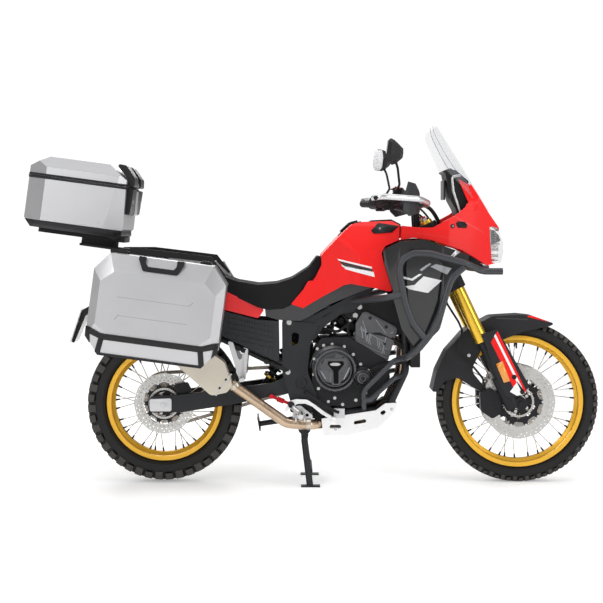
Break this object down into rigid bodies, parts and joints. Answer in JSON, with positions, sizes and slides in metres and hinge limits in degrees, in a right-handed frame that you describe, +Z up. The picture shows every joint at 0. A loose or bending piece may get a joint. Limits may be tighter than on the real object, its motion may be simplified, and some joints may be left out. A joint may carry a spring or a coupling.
{
  "type": "adventure motorcycle",
  "caption": "Adventure motorcycle with wire wheels, crash bars, alloy side cases and top case, on its deployed centre stand.",
  "frame": {"origin": "centre of the bounding box on the floor plane", "axes": "+X forward, +Y to the rider's left, +Z up"},
  "size_m": [2.426, 0.96, 1.5249],
  "materials": {
    "red_paint": "gloss red bodywork",
    "black_plastic": "textured black plastic",
    "gloss_black": "gloss black panel",
    "grey_plastic": "ribbed dark grey plastic",
    "seat_cover": "grained black cover",
    "rubber": "black rubber",
    "tyre": "black tyre",
    "gold_alloy": "gold anodised",
    "steel": "bare steel",
    "black_steel": "satin black paint",
    "bar_grey": "satin dark grey paint",
    "black_alloy": "black coated alloy",
    "bare_alloy": "bare alloy",
    "case_alloy": "brushed case alloy",
    "pipe": "heat-tinted steel",
    "muffler": "champagne steel",
    "lens": "clear lens",
    "screen": "clear screen",
    "white_plate": "bare plate",
    "red_lens": "red lens"
  },
  "bodies": {
    "chassis": {"frame": "black_steel", "swingarm": "black_alloy", "rear_axle": "steel", "engine": "black_alloy", "cylinder_head": "black_alloy", "engine_covers": "black_alloy", "radiator": "black_alloy", "skid_plate": "bare_alloy", "exhaust_pipes": "pipe", "silencer": "muffler", "tank": "red_paint", "seat": "seat_cover", "tail_panels": "red_paint", "side_covers": "grey_plastic", "fairing": "red_paint", "headlight": "lens", "shrouds": "gloss_black", "cockpit": "black_plastic", "windscreen": "screen", "crash_bars": "bar_grey", "luggage_rack": "black_steel", "top_case_body": "case_alloy", "pannier_body_left": "case_alloy", "pannier_body_right": "case_alloy", "rear_mudguard": "black_plastic", "number_plate": "white_plate", "tail_lamp": "red_lens", "shock": "steel", "rear_caliper": "black_alloy", "footrests": "bare_alloy", "chain": "steel", "side_strips": "black_plastic", "screen_arms": "bare_alloy", "tank_trim": "black_plastic"},
    "steering": {"yokes": "black_alloy", "fork_tubes": "gold_alloy", "fork_lowers": "black_alloy", "fork_guards": "black_plastic", "front_mudguard": "black_plastic", "handlebar": "black_alloy", "grips": "rubber", "hand_guards": "bare_alloy", "mirrors": "black_plastic", "bar_controls": "black_alloy", "brake_hose": "rubber"},
    "front_wheel": {"front_tyre": "tyre", "front_rim": "gold_alloy", "front_hub_spokes": "steel", "front_discs": "steel"},
    "rear_wheel": {"rear_tyre": "tyre", "rear_rim": "gold_alloy", "rear_hub_spokes": "steel", "rear_disc": "steel", "rear_sprocket": "steel"},
    "centre_stand": {"centre_stand": "black_steel"},
    "side_stand": {"side_stand": "black_steel"},
    "top_case_lid": {"top_case_lid": "case_alloy"},
    "pannier_lid_left": {"pannier_lid_left": "case_alloy"},
    "pannier_lid_right": {"pannier_lid_right": "case_alloy"}
  },
  "joints": [
    {"name": "steering", "type": "hinge", "parent": "chassis", "child": "steering", "pos_m": [0.53845, 0, 0.9], "axis": [-0.4242, 0, 0.9056], "range_deg": [-36, 36]},
    {"name": "front_wheel_spin", "type": "hinge", "parent": "steering", "child": "front_wheel", "pos_m": [0.868, 0, 0.345], "axis": [0, 1, 0], "continuous": true},
    {"name": "rear_wheel_spin", "type": "hinge", "parent": "chassis", "child": "rear_wheel", "pos_m": [-0.642, 0, 0.339], "axis": [0, 1, 0], "continuous": true},
    {"name": "centre_stand_fold", "type": "hinge", "parent": "chassis", "child": "centre_stand", "pos_m": [-0.045, 0, 0.224], "axis": [0, 1, 0], "range_deg": [0, 78]},
    {"name": "side_stand_fold", "type": "hinge", "parent": "chassis", "child": "side_stand", "pos_m": [0.02, 0.146, 0.262], "axis": [0, -0.9636, -0.2672], "range_deg": [0, 96]},
    {"name": "top_case_lid_hinge", "type": "hinge", "parent": "chassis", "child": "top_case_lid", "pos_m": [-1.19539, 0, 1.31115], "axis": [0, -1, 0], "range_deg": [0, 75]},
    {"name": "pannier_lid_left_hinge", "type": "hinge", "parent": "chassis", "child": "pannier_lid_left", "pos_m": [-0.67091, 0.3022, 0.54785], "axis": [-0.9912, 0, 0.1323], "range_deg": [0, 80]},
    {"name": "pannier_lid_right_hinge", "type": "hinge", "parent": "chassis", "child": "pannier_lid_right", "pos_m": [-0.67091, -0.3022, 0.54785], "axis": [0.9912, 0, -0.1323], "range_deg": [0, 80]}
  ]
}
